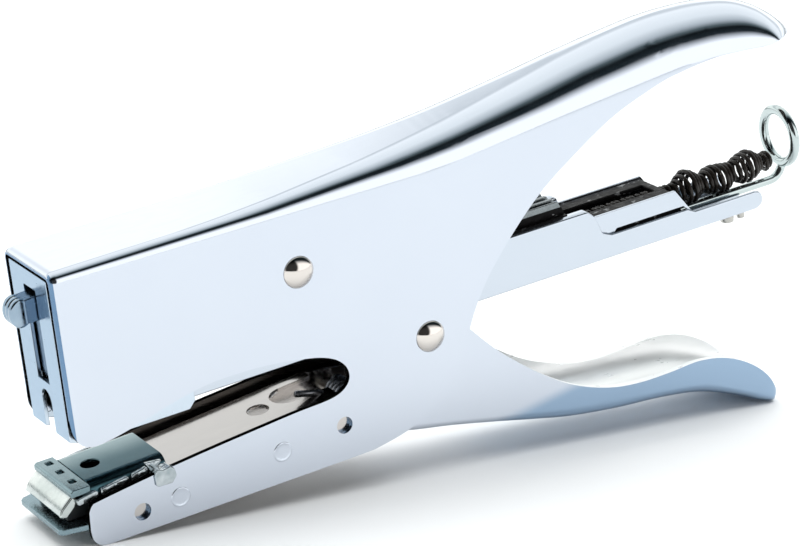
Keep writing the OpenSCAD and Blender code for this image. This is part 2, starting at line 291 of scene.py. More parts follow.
# colour and tint are the two tones of the cloud, rough the least and most roughness
finishes = {
    "bodyPlate": {"colour": (0.59, 0.629, 0.695), "tint": (0.563, 0.603, 0.673), "rough": (0.05, 0.13),
                  "stretch": (0.15, 1, 1), "grainDepth": 0.02, "waveDepth": 0.015},
    # cut edges and faces turned front or back: painted shade, a darker blue for the dimmer light they reflect
    "edgePaintedShade": {"colour": (0.176, 0.282, 0.422), "tint": (0.106, 0.185, 0.299), "rough": (0.15, 0.32),
                "grainDepth": 0.2},
    # inside of the body shell: painted shade, near black where the hollow and throat fall into shade
    "innerPaintedShade": {"colour": (0.114, 0.106, 0.097), "tint": (0.053, 0.048, 0.044), "rough": (0.2, 0.34),
                   "stretch": (0.1, 1, 1), "grainDepth": 0.3, "waveDepth": 0.1},
    # handle finish: painted shade, a darker blue toward the rear and underside of the grip
    "handlePlate": {"colour": (0.59, 0.629, 0.695), "tint": (0.563, 0.603, 0.673), "rough": (0.07, 0.16),
                    "stretch": (0.15, 1, 1), "grainDepth": 0.02, "waveDepth": 0.02,
                    "paintedShade": ("Generated", (1, 0, -1.95), 0.04, 0.15, (0.29, 0.396, 0.528))},
    # inside of the grip's bowl: a painted lighter copy of the plating, with painted shade darkening it toward
    # the root
    "bowlPaintedLight": {"colour": (0.93, 0.935, 0.93), "tint": (0.84, 0.855, 0.85), "rough": (0.26, 0.38),
                  "metal": 0.45, "stretch": (0.15, 1, 1), "grainDepth": 0.02, "waveDepth": 0.05,
                  "paintedShade": ("Generated", (1, 0, 0), 0.50, 0.36, (0.08, 0.078, 0.075))},
    "nosePlate": {"colour": (0.40, 0.48, 0.56), "tint": (0.16, 0.24, 0.32), "rough": (0.06, 0.14),
                  "cloudSize": 220, "grainDepth": 0.05, "waveDepth": 0.3},
    # anvil lip: painted shade, darkened where it lies under the tongue
    "lipPaintedShade": {"colour": (0.264, 0.352, 0.387), "tint": (0.176, 0.255, 0.29), "rough": (0.2, 0.32),
                 "grainDepth": 0.1, "waveDepth": 0.1},
    "rivetHeads": {"colour": (0.686, 0.647, 0.607), "tint": (0.616, 0.572, 0.537), "rough": (0.05, 0.12),
                   "grainDepth": 0.04},
    "channelPlate": {"colour": (0.581, 0.546, 0.519), "tint": (0.528, 0.502, 0.484), "rough": (0.10, 0.18),
                     "stretch": (0.1, 1, 1), "grainDepth": 0.04},
    "anvilPlate": {"colour": (0.29, 0.37, 0.387), "tint": (0.106, 0.176, 0.202), "rough": (0.16, 0.3),
                   "cloudSize": 70, "grainDepth": 0.12, "waveDepth": 0.12},
    # anvil cover: painted shade, darker toward the near side across its width
    "coverPlate": {"colour": (0.352, 0.431, 0.44), "tint": (0.176, 0.255, 0.273), "rough": (0.14, 0.26),
                   "cloudSize": 70, "grainDepth": 0.1, "waveDepth": 0.2,
                   "paintedShade": ("Generated", (0, 1, 0), 0.95, 0.35, (0.05, 0.105, 0.125))},
    # clip, tab and side rails: wavy bumps, with light and dark blotches painted in as reflection
    "clipPaintedReflection": {"colour": (0.774, 0.801, 0.81), "tint": (0.141, 0.202, 0.229), "rough": (0.1, 0.24),
                  "cloudSize": 420, "grainDepth": 0.2, "waveSize": 600, "waveDepth": 1.0},
    "brightPlate": {"colour": (0.757, 0.774, 0.757), "tint": (0.317, 0.378, 0.37), "rough": (0.12, 0.28),
                    "cloudSize": 160, "grainDepth": 0.3, "waveSize": 260, "waveDepth": 0.5},
    "plainPins": {"colour": (0.51, 0.502, 0.475), "tint": (0.405, 0.396, 0.37), "rough": (0.22, 0.36),
                  "grainDepth": 0.15},
    "springWire": {"colour": (0.299, 0.308, 0.326), "tint": (0.211, 0.22, 0.238), "rough": (0.2, 0.34),
                   "grainDepth": 0.1},
    "leverPlate": {"colour": (0.211, 0.29, 0.387), "tint": (0.123, 0.185, 0.264), "rough": (0.14, 0.28),
                   "grainDepth": 0.1},
    "magazinePlate": {"colour": (0.554, 0.598, 0.66), "tint": (0.519, 0.568, 0.634), "rough": (0.12, 0.22),
                      "stretch": (0.12, 1, 1), "grainDepth": 0.05},
    # guide plate: painted shade, a darker blue on faces turned forward
    "guidePlate": {"colour": (0.581, 0.651, 0.722), "tint": (0.528, 0.607, 0.686), "rough": (0.16, 0.28),
                   "paintedShade": ("Normal", (1, 0, 0), -0.4, -0.85, (0.29, 0.396, 0.51)),
                   "grainDepth": 0.08, "waveDepth": 0.06},
    # black rail: the light flecks are partly wear, partly painted glints
    "railLacquer": {"colour": (0.006, 0.006, 0.007), "tint": (0.014, 0.013, 0.013), "rough": (0.22, 0.45),
                    "metal": 0.0, "gloss": 0.06, "stretch": (0.5, 1, 1), "grainSize": 1100, "grainDepth": 0.9,
                    "waveSize": 500, "waveDepth": 0.9, "wornAndGlint": (0.63, 0.70, (0.42, 0.43, 0.44))},
    # black coil: the warm flecks are partly wear, partly painted highlights
    "coilLacquer": {"colour": (0.010, 0.008, 0.007), "tint": (0.03, 0.024, 0.02), "rough": (0.14, 0.28),
                    "metal": 0.0, "gloss": 0.3, "grainSize": 1500, "grainDepth": 0.2,
                    "wornAndGlint": (0.66, 0.72, (0.30, 0.27, 0.25))},
    # near-black block: painted shade filling the gaps under the anvil cover and tongue
    "anvilShadeBlock": {"colour": (0.012, 0.014, 0.016), "tint": (0.03, 0.034, 0.036), "rough": (0.35, 0.5),
                 "metal": 0.0, "gloss": 0.2, "grainDepth": 0.3},
    "stapleWire": {"colour": (0.616, 0.625, 0.642), "tint": (0.528, 0.537, 0.554), "rough": (0.2, 0.34),
                   "stretch": (8, 0.3, 0.3), "grainSize": 220, "grainDepth": 0.8},
    "pusherPlate": {"colour": (0.264, 0.29, 0.299), "tint": (0.167, 0.185, 0.194), "rough": (0.2, 0.36),
                    "grainDepth": 0.2},
    "pullWire": {"colour": (0.528, 0.585, 0.585), "tint": (0.44, 0.502, 0.502), "rough": (0.08, 0.18),
                 "grainDepth": 0.05},
}
made = {name: finish(name, look) for name, look in finishes.items()}
print("finishes made:", len(made))


# pressed body: upper handle, side plates and jaw in one sheet, outlines in x and z
body = {"width": 22.0, "sheet": 1.2, "jawHole": 1.85, "shank": 2.0, "edge": 0.22, "roll": (1.7, 1.0),
        "frontRivet": (53.1, 44.0), "rearRivet": (82.0, 20.9), "jawHoles": [(12.2, 4.4), (59.6, 7.8)],
        "end": (163, 23.8, 2.4, 0.6),  # where it narrows, over what length, and two powers of its curve
        "hollowEnd": 185.4,
        "crown": [(-4, 58.9), (0, 58.9), (18, 59), (34, 59.2), (48, 59.7), (62, 60.6), (74, 61.5),
                  (85, 62.6), (96, 64), (107, 65.8), (117, 67.5), (127, 69.3), (138, 70.9), (149, 72),
                  (158, 72.1), (165, 71.6), (171, 70.5), (176, 68.6), (180, 66.2), (183, 63.9),
                  (185.3, 61.8), (186.8, 60.2)],
        "bend": [(-8, 2.2), (10, 2.3), (30, 2.6), (62, 4.6), (90, 7.4), (120, 10), (140, 11),
                 (160, 11), (200, 11)],
        "underHandle": [(188.5, 58.6), (186, 59.9), (183.5, 60.5), (180.5, 60.6), (177, 60.7),
                        (173.3, 61.1), (168.3, 61.8), (161.2, 62.3), (155.8, 62.1), (150.4, 61.5),
                        (145.8, 60.8), (140.4, 59.3), (134.3, 57.3), (128.9, 54.9), (122, 51),
                        (114, 46), (108, 41.1), (102, 35.1), (97, 29.2),
                        (93.5, 23.5), (91.2, 18.5), (88.8, 13.5), (85.5, 8.7), (80.5, 4.5),
                        (74, 1.6), (66, 0.1)],
        "jawFront": [(4.4, 0), (2.3, 0.5), (1, 1.9), (0.7, 4)],
        "jawTop": [(0.9, 8), (1.7, 9.4), (3.6, 9.9), (15, 11.3), (26, 12.4), (38, 13.4), (49, 14.2),
                   (56, 14.5), (59.4, 15.2), (61.4, 16.7), (62, 18.6), (61.3, 20.8), (59.2, 22.8),
                   (55.8, 24.3), (51, 25.4), (46, 26.2), (40, 26.7), (33, 26.8), (27.5, 26.3),
                   (21.5, 25.1), (16.6, 23.9), (11.5, 22.6), (6.5, 21.7), (3.4, 21.7), (1.3, 22.8),
                   (0.2, 25), (0, 28)]}


def halfWidth(x):
    # the end of the handle closes in a rounded point
    start, long, swing, blunt = body["end"]
    if x < start:
        return body["width"] / 2
    return max(0.6, body["width"] / 2 * max(0.0, 1 - ((x - start) / long) ** swing) ** blunt)


def bodyRing(x, crown, inset):
    # section across the body: two walls under a top with rounded bends
    half = max(0.25, halfWidth(x + inset) - inset)
    top = crown - inset
    bend = max(0.2, min(half - 0.04, readAt(bendLine, x) - inset))
    near = [(x, y, z) for y, z in arc((-half + bend, top - bend), bend, 180, 90, 18)]
    far = [(x, -y, z) for x, y, z in reversed(near)]
    return [(x, -half, -3 - inset), *near, *far, (x, half, -3 - inset)]


def paintSheet(piece, bodyName, finishNames, slotName, nodeName, choose):
    # one sheet, its outside, inside and cut edges finished differently; the inside and edge finishes carry
    # painted light and shade
    roundEdges(piece, body["edge"])
    place(piece, bodyName, made[finishNames[0]], slotName, nodeName)
    for finishName in finishNames[1:]:
        piece.data.materials.append(made[finishName])
    back = bodyFrame.inverted()
    for face in piece.data.polygons:
        centre = back @ face.center
        normal = (back.to_3x3() @ face.normal).normalized()
        face.material_index = choose(centre, normal)


def bodySlot(p, n):
    # 0 outside, 1 inside in painted shade, 2 cut edges and the front edge in a darker blue painted shade
    outward = n.y * p.y / max(0.01, abs(p.y))
    if abs(n.x) > 0.9 or outward > 0.25:
        return 2 if abs(n.x) > 0.9 or n.x < -0.5 and p.z > 20 else 0
    height = readAt(crownLine, p.x) - p.z
    if n.z > 0.2 and height < 0.9 or abs(n.y) < 0.2 and n.z > 0 and height < 3:
        return 0
    return 1 if outward < -0.25 or height < 4 else 2


bendLine = smoothCurve(body["bend"], 8)
crownLine = smoothCurve(body["crown"], 8)
rings = []
rollLong, rollDeep = body["roll"]
for k in range(8):  # the front edge rolls inward
    turn = math.radians(90 * k / 7)
    x = rollLong * (1 - math.cos(turn))
    rings.append(bodyRing(x, readAt(crownLine, x), rollDeep * (1 - math.sin(turn))))
shell = loft("bodyShell", rings + [bodyRing(x, z, 0) for x, z in crownLine if x > rollLong + 0.3])
hollow = loft("hollow", [bodyRing(x, z, body["sheet"]) for x, z in crownLine if x <= body["hollowEnd"]])
combine(shell, hollow, "DIFFERENCE")
side = ([(-3, 90), (200, 90), (200, 54)] + smoothCurve(body["underHandle"], 5) + [(60, 0)]
        + smoothCurve(body["jawFront"], 5) + smoothCurve(body["jawTop"], 4) + [(-3, 28.001)])
cutSide(shell, side, "INTERSECT")


def crossPin(name, centre, radius, reach=40):
    # a round pin right across the body, used here for bores
    return lathe(name, [(0, -reach), (radius, -reach), (radius, reach), (0, reach)],
                 (centre[0], 0, centre[1]), (0, -1, 0))


for centre in (body["frontRivet"], body["rearRivet"]):
    combine(shell, crossPin("bore", centre, body["shank"]), "DIFFERENCE")
for centre in body["jawHoles"]:
    combine(shell, crossPin("bore", centre, body["jawHole"]), "DIFFERENCE")
cleanFlats(shell)
paintSheet(shell, "body", ["bodyPlate", "innerPaintedShade", "edgePaintedShade"], "body_chrome", "body_shell", bodySlot)
print("body shell pressed")


# two domed rivets, their heads standing on the side plates
rivet = {"shank": 2.0, "head": 3.4, "height": 1.5, "rim": 0.12, "steps": 14}


def domedRivet(name, centre, node):
    # shank and two heads in one turned piece
    half = body["width"] / 2
    rise = rivet["height"] - rivet["rim"]
    ball = (rivet["head"] ** 2 + rise ** 2) / (2 * rise)
    spread = math.asin(rivet["head"] / ball)
    dome = [(ball * math.sin(spread * (1 - k / rivet["steps"])),
             half + rivet["height"] - ball + ball * math.cos(spread * (1 - k / rivet["steps"])))
            for k in range(rivet["steps"] + 1)]
    oneSide = [(rivet["shank"], half - 0.05), (rivet["head"] - 0.1, half), (rivet["head"], half + 0.1), *dome]
    profile = [(r, -h) for r, h in reversed(oneSide)] + oneSide
    piece = lathe(name, profile, (centre[0], 0, centre[1]), (0, -1, 0), 64)
    return place(piece, "body", made["rivetHeads"], "rivet_steel", node)


domedRivet("frontRivet", body["frontRivet"], "front_rivet")
domedRivet("rearRivet", body["rearRivet"], "rear_rivet")

# shallow rings that spot welding leaves on the jaw
weldMark = {"radius": 2.05, "proud": 0.12, "rim": 0.35, "places": [(20.8, 4.7), (44.7, 6.7)]}
outer, proud, rim = weldMark["radius"], weldMark["proud"], weldMark["rim"]
profile = [(outer + 0.12, -0.1), (outer + 0.1, 0), (outer, proud * 0.8), (outer - rim / 2, proud),
           (outer - rim, proud * 0.5), (outer - 2 * rim, 0.02), (0.6, 0.03), (0, 0.03)]
for number, (x, z) in enumerate(weldMark["places"]):
    for sign, tag in bothSides:
        mark = lathe(f"weldMark{tag}{number + 1}", profile, (x, sign * body["width"] / 2, z), (0, sign, 0))
        place(mark, "body", made["bodyPlate"], "body_chrome")
print("rivets and weld marks set")


# lower handle: a rounded channel, its walls waving down to a blunt tip
lower = {"width": 19.0, "sheet": 1.2, "pinBore": 1.5,
         "corner": [(60, 1.6), (95, 2.0), (110, 2.8), (150, 2.8), (168, 2.0), (180, 1.6)],
         "bowl": [(60, 1.2), (95, 2.0), (110, 5.5), (125, 7.4), (160, 7.4), (180, 6.0)],
         "leverPins": [(67, 49.2), (77, 49.2)],
         "top": [(92.1, 19.4), (99.4, 11.4), (108.9, 3.4), (117.6, -2.3), (126.6, -5.8),
                 (134.6, -7.2), (142.8, -7.4), (151.2, -7.2), (158.5, -8.8), (165, -12.2),
                 (169.9, -16.7), (173.2, -22.2)],
         "under": [(172, -24.3), (168.2, -22.9), (161.6, -19.6), (152, -15.8), (141, -13.7),
                   (128.8, -12.3), (116.9, -10.3), (107.8, -8), (97, -4.9), (86.5, -2.2),
                   (79, -0.6), (73, 0.8)],
         "tip": (170.4, 6.7, 3.2)}
underLine = sorted((tuple(p) for p in smoothCurve(lower["under"], 6)), key=lambda p: p[0])


def tipHalf(x):
    # plan of the rounded end
    start, flat, long = lower["tip"]
    half = lower["width"] / 2
    if x <= start:
        return half
    return flat - 0.1 + (half - flat) * math.sqrt(max(0.0, 1 - ((x - start) / long) ** 2))


def handleRing(x, inset):
    # section across the grip: a round-bottomed channel, rounder inside than outside
    half = tipHalf(x) - inset
    corner = max(0.3, min(readAt(lower["bowl" if inset else "corner"], x), half - 0.1))
    base = readAt(underLine, x) + inset * (1.0 + max(0.0, x - 156) * 0.02)  # thicker toward the tip
    if x > underLine[-1][0]:
        base = underLine[-1][1] + (x - underLine[-1][0]) * 0.9 + inset
    near = [(x, y, z) for y, z in arc((-half + corner, base + corner), corner, 180, 270, 10)]
    return [(x, -half, 60), *near, *[(x, -y, z) for x, y, z in reversed(near)], (x, half, 60)]


def gripSlot(p, n):
    # 0 outside, 1 cut edges of the root in painted shade, 2 inside and the lips of the bowl, painted lighter
    # with painted shade toward the root
    outward = n.y * p.y / max(0.01, abs(p.y))
    if p.x > 95:
        return 2 if n.z > 0.02 or outward < -0.1 else 0
    if outward > 0.25 or n.z < -0.2 and p.z < readAt(underLine, p.x) + 3:
        return 0
    return 2 if outward < -0.25 or n.z > 0 and p.z < readAt(underLine, p.x) + 3 else 1


steps = [60 + 1.5 * k for k in range(72)] + [168 + 0.5 * k for k in range(13)]
grip = loft("lowerHandle", [handleRing(x, 0) for x in steps])
combine(grip, loft("hollow", [handleRing(x, lower["sheet"]) for x in steps if x < 172]), "DIFFERENCE")
side = ([(62.5, 53.6), (80.5, 53.6), (85.6, 47), (88.4, 36), (90.4, 25)] + smoothCurve(lower["top"], 6)
        + [(174, -24.2), (173.2, -26), (60, -26), (71.4, 3), (71.4, 12), (68, 32)])
cutSide(grip, side, "INTERSECT")
combine(grip, crossPin("bore", body["rearRivet"], body["shank"] + 0.05), "DIFFERENCE")
for centre in lower["leverPins"]:
    combine(grip, crossPin("bore", centre, lower["pinBore"]), "DIFFERENCE")
cleanFlats(grip)
paintSheet(grip, "handle", ["handlePlate", "edgePaintedShade", "bowlPaintedLight"], "handle_chrome", "lower_handle", gripSlot)
print("lower handle pressed")


# two torsion springs wound across the body, a straight leg leaving each end
torsionSprings = {
    "handleSpring": {"node": "handle_spring", "centre": (66.0, 9.0), "radius": 2.75, "wire": 0.72,
                     "turns": 5.75, "half": 3.7, "from": 250, "trim": (3, 3),
                     "nearLeg": [(52.8, -3.7, 14.6), (58, -3.7, 13.2), (62.6, -3.7, 11.0)],
                     "farLeg": [(70, 3.7, 5.4), (78, 3.7, 2.3)]},
    "leverSpring": {"node": "lever_spring", "centre": (53.1, 44.0), "radius": 2.57, "wire": 0.5,
                    "turns": 7.25, "half": 4.3, "from": 140, "trim": (2, 3),
                    "nearLeg": [(43.3, -4.2, 50.2), (47, -4.2, 48.6)],
                    "farLeg": [(46, 4.2, 38.6), (38.3, 4.2, 35.1)]}}


def torsionSpring(name, spring, steps=20):
    # steps are points in one turn
    count = int(spring["turns"] * steps)
    coil = []
    for i in range(count + 1):
        t = math.radians(spring["from"]) + 2 * math.pi * i / steps
        coil.append((spring["centre"][0] + spring["radius"] * math.cos(t),
                     -spring["half"] + 2 * spring["half"] * i / count,
                     spring["centre"][1] + spring["radius"] * math.sin(t)))
    first, last = spring["trim"]  # points left out where the legs begin
    path = [*spring["nearLeg"], *coil[first:-last], *spring["farLeg"]]
    place(tube(name, path, spring["wire"]), "body", made["springWire"], "spring_steel", spring["node"])


for name, spring in torsionSprings.items():
    torsionSpring(name, spring)

# barrel coils behind the pusher, tight and thin between the three lobes
pusherSpring = {"axis": 30.3, "turns": 44, "wire": 0.5, "wobble": 0.16, "uneven": 0.22,
                "looseFrom": 152,
                "swell": [(122.8, 1.4), (151, 1.4), (153.6, 1.5), (155.4, 2.9), (157.2, 3.65), (159, 2.9),
                          (161, 1.8), (163.2, 2.6), (165.6, 3.1), (168, 2.6), (169.8, 1.9), (171.6, 2.8),
                          (173.8, 3.3), (176, 2.4), (177.4, 1.5), (179.2, 1.9), (180.4, 1.1)],
                "sag": [(120, 0), (154, 0), (157.2, -0.1), (165.6, -0.8), (173.8, 0.5), (180.4, 0)]}
swell = smoothCurve(pusherSpring["swell"], 4)
first, last = swell[0][0], swell[-1][0]
path = []
count = pusherSpring["turns"] * 20
for i in range(count + 1):  # turns a little uneven in spacing, and off centre where they are loose
    t = 2 * math.pi * i / 20
    along = first + (last - first) * i / count + pusherSpring["uneven"] * math.sin(t * 0.31)
    radius = readAt(swell, along)
    axis = pusherSpring["axis"] + readAt(pusherSpring["sag"], along)
    off = 0
    if along > pusherSpring["looseFrom"]:
        off = pusherSpring["wobble"] * (math.sin(t * 0.23) + math.sin(t * 0.071))
    path.append((along, radius * math.cos(t) + off, axis + radius * math.sin(t) + off / 2))
place(tube("pusherSpring", path, pusherSpring["wire"], 8), "pusher", made["coilLacquer"], "coil_black",
      "pusher_spring")
print("springs wound")


# pull wire through the pusher's coil, bent up into the finger ring
pull = {"wire": 1.0, "start": 120.0, "floor": 25.3, "bend": 3.6, "bendAt": (180.4, 28.9),
        "ring": 6.2, "ringWide": 5.5, "ringWire": 1.12, "ringAt": (183.78, 35.1), "lean": -2.0}
stem = [(pull["start"] + 6 * k, 0, pull["floor"]) for k in range(11)]
stem += [(x, 0, z) for x, z in arc(pull["bendAt"], pull["bend"], -90, 4, 12)]
place(tube("pullWire", stem, pull["wire"], 16), "pusher", made["pullWire"], "wire_steel", "pull_wire")
lean = math.radians(pull["lean"])
loop = []
for k in range(64):
    t = 2 * math.pi * k / 64
    rise = pull["ring"] * math.cos(t)
    loop.append((pull["ringAt"][0] + rise * math.sin(lean), pull["ringWide"] * math.sin(t),
                 pull["ringAt"][1] + rise * math.cos(lean)))
place(tube("fingerRing", loop, pull["ringWire"], 16, loop=True), "pusher", made["pullWire"], "wire_steel")
print("pull wire bent")


# anvil: slotted strip, rolled cover, slanted tongue, side rails, clip and tab
anvil = {"strip": (-1.5, 2.8), "stripHalf": 8.7, "stripTop": 12.6, "stripDeep": 1.5,
         "pockets": [(0.9, 6.3), (0.9, 1.2), (0.9, -4.4)], "pocket": (1.5, 1.7, 0.9),
         "cover": (2.9, 19.9), "coverHalf": 8.3, "coverTop": 12.75, "coverRoll": 2.6, "coverSheet": 0.8,
         "coverHole": (7.0, 2.0), "rise": 0.03}

start, end = anvil["strip"]
top, deep, half = anvil["stripTop"], anvil["stripDeep"], anvil["stripHalf"]
strip = plate("anvilStrip", [(start, top - deep), (end, top - deep), (end, top), (start + 0.5, top),
                             (start, top - 0.4)], -half, half)
for x, y in anvil["pockets"]:
    long, wide, down = anvil["pocket"]
    combine(strip, plate("pocket", [(x - long / 2, top - down), (x + long / 2, top - down),
                                    (x + long / 2, top + 1), (x - long / 2, top + 1)],
                         y - wide / 2, y + wide / 2), "DIFFERENCE")
cleanFlats(strip)
roundEdges(strip, 0.18)
place(strip, "body", made["anvilPlate"], "anvil_steel", "anvil_block")


def coverSection(x):
    # flat across the middle, rolled down at both long edges
    top = anvil["coverTop"] + anvil["rise"] * (x - anvil["cover"][0])
    half, roll, sheet = anvil["coverHalf"], anvil["coverRoll"], anvil["coverSheet"]
    outer = arc((half - roll, top - roll), roll, 0, 90, 10)
    inner = arc((half - roll, top - roll), roll - sheet, 90, 0, 10)
    right = [(x, y, z) for y, z in outer]
    left = [(x, -y, z) for y, z in reversed(outer)]
    innerLeft = [(x, -y, z) for y, z in reversed(inner)]
    return [*right, *left, *innerLeft, *[(x, y, z) for y, z in inner]]


cover = loft("anvilCover", [coverSection(x) for x in anvil["cover"]])
x, radius = anvil["coverHole"]
bore = lathe("bore", [(0, 5), (radius, 5), (radius, 20), (0, 20)], (x, 0, 0), (0, 0, 1))
combine(cover, bore, "DIFFERENCE")
cleanFlats(cover)
roundEdges(cover, 0.15)
place(cover, "body", made["coverPlate"], "anvil_steel", "anvil_plate")

tongue = {"half": 7.9, "behind": (0.72, -0.558), "cheekFrom": 7.3, "cheekTo": 8.3,
          "face": [(-0.6, 11.3), (-1.6, 11.15), (-2.9, 10.1), (-3.7, 9.1), (-4.2, 8.1), (-4.1, 7.6)],
          "cheek": [(-4.3, 7.6), (-2.9, 7.1), (-0.9, 8.9), (-0.2, 10.4), (-1.2, 11.1), (-3.6, 9.0)]}
face = smoothCurve(tongue["face"], 4)
behind = [p + Vector(tongue["behind"]) for p in reversed(face)]
tongueFace = plate("anvilTongue", face + behind, -tongue["half"], tongue["half"])
roundEdges(tongueFace, 0.2)
place(tongueFace, "body", made["brightPlate"], "bright_steel", "anvil_tongue")
for sign, tag in bothSides:
    cheek = plate(f"tongueCheek{tag}", tongue["cheek"], sign * tongue["cheekFrom"], sign * tongue["cheekTo"])
    roundEdges(cheek, 0.25)
    place(cheek, "body", made["brightPlate"], "bright_steel")

rails = {"from": 8.45, "to": 9.35,
         "ends": [((-0.6, 10.0), (4.1, 10.5)), ((4.7, 10.6), (11.1, 11.2)), ((11.6, 11.3), (15.4, 11.9))]}
for sign, tag in bothSides:
    for number, ((x0, z0), (x1, z1)) in enumerate(rails["ends"]):
        outline = [(x0, z0 - 0.4), (x0 + 0.4, z0 - 0.7), (x1 - 0.3, z1 - 0.6), (x1, z1 - 0.3), (x1, z1 + 0.5),
                   (x1 - 0.4, z1 + 0.9), (x0 + 0.4, z0 + 0.8), (x0, z0 + 0.5)]
        rail = plate(f"anvilRail{tag}{number + 1}", outline, sign * rails["from"], sign * rails["to"])
        roundEdges(rail, 0.3)
        replaced = ["anvil_rails"] if sign < 0 else []
        place(rail, "body", made["clipPaintedReflection"], "bright_steel", *replaced)

# the clip is hooked over the jaw's near wall, which fills its gap
hook = {"clip": [(15.7, 9.0), (16.4, 8.7), (19.3, 8.6), (20.4, 9.9), (20.1, 11.6), (19.2, 12.3),
                 (17.6, 12.0), (16.2, 12.5), (15.6, 11.2)],
        "gap": [(10, 0), (25, 0), (25, 11.6), (10, 11.3)],
        "wall": (-11.02, -9.3),
        "tab": [(14.8, 13.6), (18.5, 13.2), (18.2, 12.6), (16.6, 11.4), (15.6, 11.4), (15.3, 12.6)]}
clip = plate("plateClip", hook["clip"], -11.6, -8.7)
combine(clip, plate("gap", hook["gap"], *hook["wall"]), "DIFFERENCE")
cleanFlats(clip)
roundEdges(clip, 0.25)
# the clip's finish paints light and dark reflection blotches
place(clip, "body", made["clipPaintedReflection"], "bright_steel", "anvil_clip")
tab = plate("coverTab", hook["tab"], -9.3, -8.5)
roundEdges(tab, 0.2)
place(tab, "body", made["clipPaintedReflection"], "bright_steel")

# a near-black block under the anvil cover and tongue, put where there is only shade: painted shade
shadeBlock = {"half": 7.0, "side": [(-2.3, 5.7), (2.6, 5.7), (2.8, 8.8), (19.4, 10.0), (19.4, 10.6), (0.2, 9.6),
                             (-1.8, 8.0)]}
anvilShadeBlock = plate("anvilShadeBlock", shadeBlock["side"], -shadeBlock["half"], shadeBlock["half"])
roundEdges(anvilShadeBlock, 0.2)
place(anvilShadeBlock, "body", made["anvilShadeBlock"], "anvil_steel")
print("anvil folded")


# lever with its grooved nose
lever = {"arm": 4.4, "yoke": 16.6, "nose": (-3.2, 49.3, 2.35, 3.0), "noseWidth": 4.0,
         "leaves": (-1.38, 0.0, 1.38), "pins": 1.5,
         "side": [(63.2, 45.6), (79.5, 45.6), (80.5, 53.6), (66, 57.6), (52, 57.2), (30, 55.2), (12, 53),
                  (-2.5, 52), (-2.5, 46.9), (12, 46.9), (30, 49.2), (46, 52), (54, 53.2), (61, 53.4),
                  (63.2, 51.5)],
         "yokeSide": [(63.2, 45.6), (79.5, 45.6), (80.5, 53.6), (64.6, 53.6)]}
arm = plate("driveLever", lever["side"], -lever["arm"] / 2, lever["arm"] / 2)
combine(arm, plate("yoke", lever["yokeSide"], -lever["yoke"] / 2, lever["yoke"] / 2), "UNION")
for centre in lower["leverPins"]:
    combine(arm, crossPin("bore", centre, lever["pins"]), "DIFFERENCE")
cleanFlats(arm)
roundEdges(arm, 0.3)
place(arm, "handle", made["leverPlate"], "lever_steel", "drive_lever")
x, z, long, high = lever["nose"]
leaf = lever["noseWidth"] / 6  # half of one leaf
# three rounded leaves side by side, dark grooves between them
for number, y in enumerate(lever["leaves"]):
    rings = []
    for inward, across in ((0.55, -leaf), (0.18, -leaf + 0.12), (0, -leaf + 0.34), (0, leaf - 0.34),
                           (0.18, leaf - 0.12), (0.55, leaf)):
        rings.append([(x + (long - inward) * math.cos(2 * math.pi * k / 40), y + across,
                       z + (high - inward) * math.sin(2 * math.pi * k / 40)) for k in range(40)])
    place(loft(f"leverNose{number + 1}", rings), "handle", made["nosePlate"], "lever_steel")
print("lever made")


# inner magazine channel, its sides standing up behind the step
liner = {"half": 6.78, "sheet": 0.62,
         "side": [(100, 24), (158, 24), (158, 25.2), (153.4, 27.6), (149.4, 33.2), (100, 33.2)],
         "slot": [(132.6, 28.2), (152.4, 28.2), (151.4, 29.1), (133.4, 29.1)]}
for sign, tag in bothSides:
    wall = plate(f"magazineLiner{tag}", liner["side"], sign * liner["half"],
                 sign * (liner["half"] - liner["sheet"]))
    cutSide(wall, liner["slot"])
    cleanFlats(wall)
    roundEdges(wall, 0.15)
    replaced = ["magazine_liner"] if sign < 0 else []
    place(wall, "magazine", made["magazinePlate"], "magazine_steel", *replaced)
print("magazine lined")


# pusher: black slide with a ridged steel top
pusherSlide = {"half": 5.9, "side": [(98, 33.1), (98, 35.4), (121.5, 35.4), (122.4, 34.1), (122.4, 33.1)],
               "stepHalf": 4.6, "step": [(98, 34), (98, 36.6), (98.8, 37), (121, 37), (122.2, 34)],
               "keyHalf": 1.9, "key": [(100, 25), (120, 25), (120, 33.3), (100, 33.3)]}
slide = plate("pusherSlide", pusherSlide["side"], -pusherSlide["half"], pusherSlide["half"])
for part in ("step", "key"):
    half = pusherSlide[part + "Half"]
    combine(slide, plate(part, pusherSlide[part], -half, half), "UNION")
cleanFlats(slide)
roundEdges(slide, 0.2)
place(slide, "pusher", made["railLacquer"], "pusher_steel", "pusher")
pusherTop = {"half": 4.6, "side": [(99, 36.9), (103, 38.4), (120.2, 38.4), (120.9, 36.9)],
             "ridges": 4, "ridge": 0.6, "groove": [(90, 37.5), (130, 37.5), (130, 40), (90, 40)]}
ridged = plate("pusherTop", pusherTop["side"], -pusherTop["half"], pusherTop["half"])
for k in range(pusherTop["ridges"]):
    y = pusherTop["half"] * (2 * k + 1 - pusherTop["ridges"]) / pusherTop["ridges"]
    groove = plate("groove", pusherTop["groove"], y - pusherTop["ridge"], y + pusherTop["ridge"])
    combine(ridged, groove, "DIFFERENCE")
cleanFlats(ridged)
roundEdges(ridged, 0.15)
place(ridged, "pusher", made["pusherPlate"], "pusher_steel")
print("pusher made")


